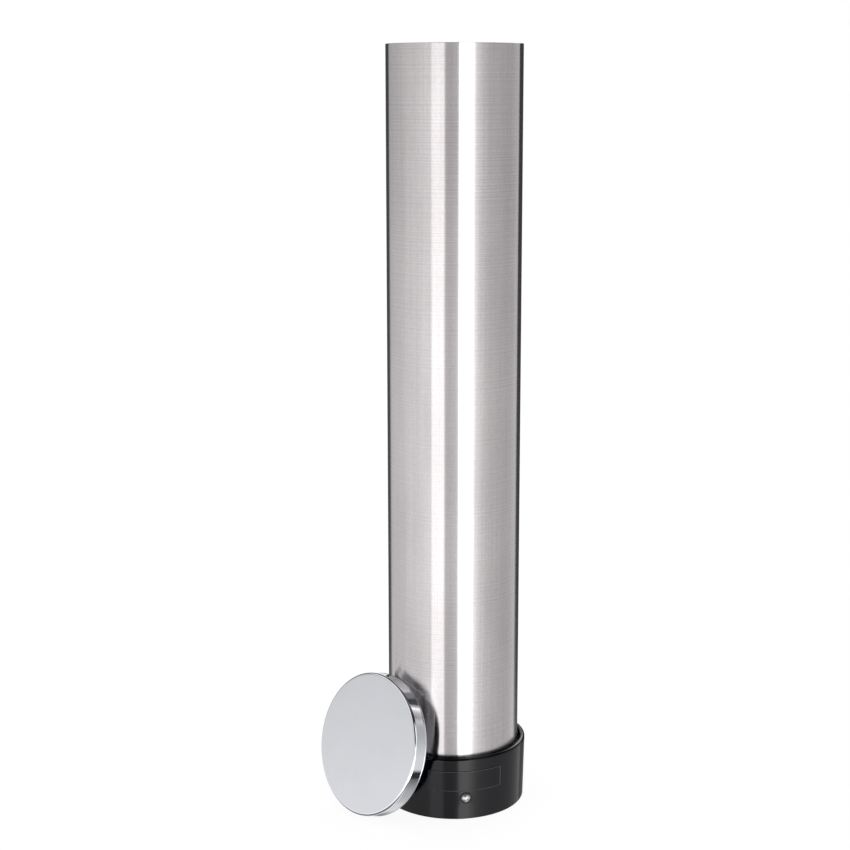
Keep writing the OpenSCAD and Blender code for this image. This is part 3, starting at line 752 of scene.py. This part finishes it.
placed = np.array([v.co for v in cap.data.vertices])
misfit = max(np.abs(placed.min(0) - shell_low).max(), np.abs(placed.max(0) - shell_high).max())
print("cap box differs from the CAD's by up to", round(misfit / MM, 3), "mm")

# %% [markdown]
# ## Label plate
#
# The plate is a thin film stuck on the collar's front. It is bare but for a fine pale
# outline. Its grid is laid out in millimetres across and up, which are kept as its UV
# map, so the outline can be drawn as the distance to the plate's edge.

# %% Label
label_low, label_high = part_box("label_plate")
LABEL_SPAN = math.radians(60)
LABEL_THICK = 0.3 * MM
GAP = 0.02 * MM
LINE_IN_MM = 0.32
LINE_HALF_MM = 0.22


def collar_radius(z):
    """The collar's outer wall: a straight taper from the foot to just under the rim."""
    return collar_foot_r + (collar_top_r - collar_foot_r) * z / (collar_h - rim_round)


across = np.linspace(-0.5, 0.5, 97) * LABEL_SPAN
upward = np.linspace(label_low.z, label_high.z, 25)
film_angle, film_z = np.meshgrid(across, upward)
film_r = collar_radius(film_z) + GAP


def film(radius):
    """The film's points at that radius: x = r sin a, y = -r cos a."""
    return np.stack([radius * np.sin(film_angle), -radius * np.cos(film_angle), film_z], axis=-1)


# %% [markdown]
# The film needs a thickness. Its front is a grid, and a Solidify
# modifier gives the rest.

# %% Label film
arc_mm = film_angle * collar_radius(film_z.mean()) / MM
film_uv = np.stack([arc_mm, film_z / MM], axis=-1)
label = grid_mesh("label_film", film(film_r), closed_columns=False, uv=film_uv)
thick = label.modifiers.new("thickness", "SOLIDIFY")
thick.thickness = LABEL_THICK
thick.offset = 1.0
half_across = float(arc_mm.max())
middle_z = float(film_z.mean() / MM)
half_up = float((film_z.max() - film_z.min()) / 2 / MM)

label_black, tree, shader, place = new_material(
    "label_film", {"Metallic": 0.0, "Specular IOR Level": 0.33, "Roughness": 0.16})
uv = add(tree, "ShaderNodeUVMap", {"uv_map": "UVMap"})
parts = add(tree, "ShaderNodeSeparateXYZ", None, {"Vector": uv.outputs["UV"]})
side_gap = maths(tree, "SUBTRACT", half_across, maths(tree, "ABSOLUTE", parts.outputs["X"]))
from_middle = maths(tree, "SUBTRACT", parts.outputs["Y"], middle_z)
end_gap = maths(tree, "SUBTRACT", half_up, maths(tree, "ABSOLUTE", from_middle))
edge_gap = maths(tree, "MINIMUM", side_gap, end_gap)
line = maths(tree, "COMPARE", edge_gap, LINE_IN_MM, LINE_HALF_MM)
grain = place_group(tree, grain_group, {"Vector": place, "Scale": 2500.0})
film_tone = tinted(tree, grain.outputs["Height"],
                   (0.0011, 0.0012, 0.0032), (0.0019, 0.0021, 0.0048))
outlined = add(tree, "ShaderNodeMix", {"data_type": "RGBA"},
               {"Factor": line, "A": film_tone, "B": (0.085, 0.085, 0.09, 1)})
tree.links.new(outlined.outputs["Result"], shader.inputs["Base Color"])
bumped(tree, shader, grain.outputs["Height"], 0.01 * MM, 0.4)
label.data.materials.append(label_black)
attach(label, "housing")
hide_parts("label_plate")
print("label", round(2 * half_across, 1), "x", round(2 * half_up, 1), "mm")

# %% [markdown]
# ## Materials for the CAD pieces that stay
#
# The other pieces already have their true shape, so each keeps its mesh and gets its
# finish from the table below.

# %% Finish table
FINISH = {
    "collar": collar_black, "tube_gasket": soft_black, "tube_rivets": rivet_metal,
    "throat_ring": throat_black, "bottom_ring": throat_black, "throat_screws": plain_steel,
    "screw_inserts": insert_brass, "finger_pins": plain_steel, "finger_springs": plain_steel,
    "front_finger": finger_grey, "right_finger": finger_grey, "left_finger": finger_grey,
    "front_screw": screw_chrome, "right_screw": screw_chrome, "left_screw": screw_chrome,
    "front_washer": soft_black, "right_washer": soft_black, "left_washer": soft_black,
    "upper_bracket": bracket_steel, "lower_bracket": bracket_steel, "bracket_rivets": rivet_metal,
    "cap_grip_ring": soft_black,
}
for name, material in FINISH.items():
    nodes[name].data.materials.clear()
    nodes[name].data.materials.append(material)
print(len(FINISH), "CAD pieces dressed")
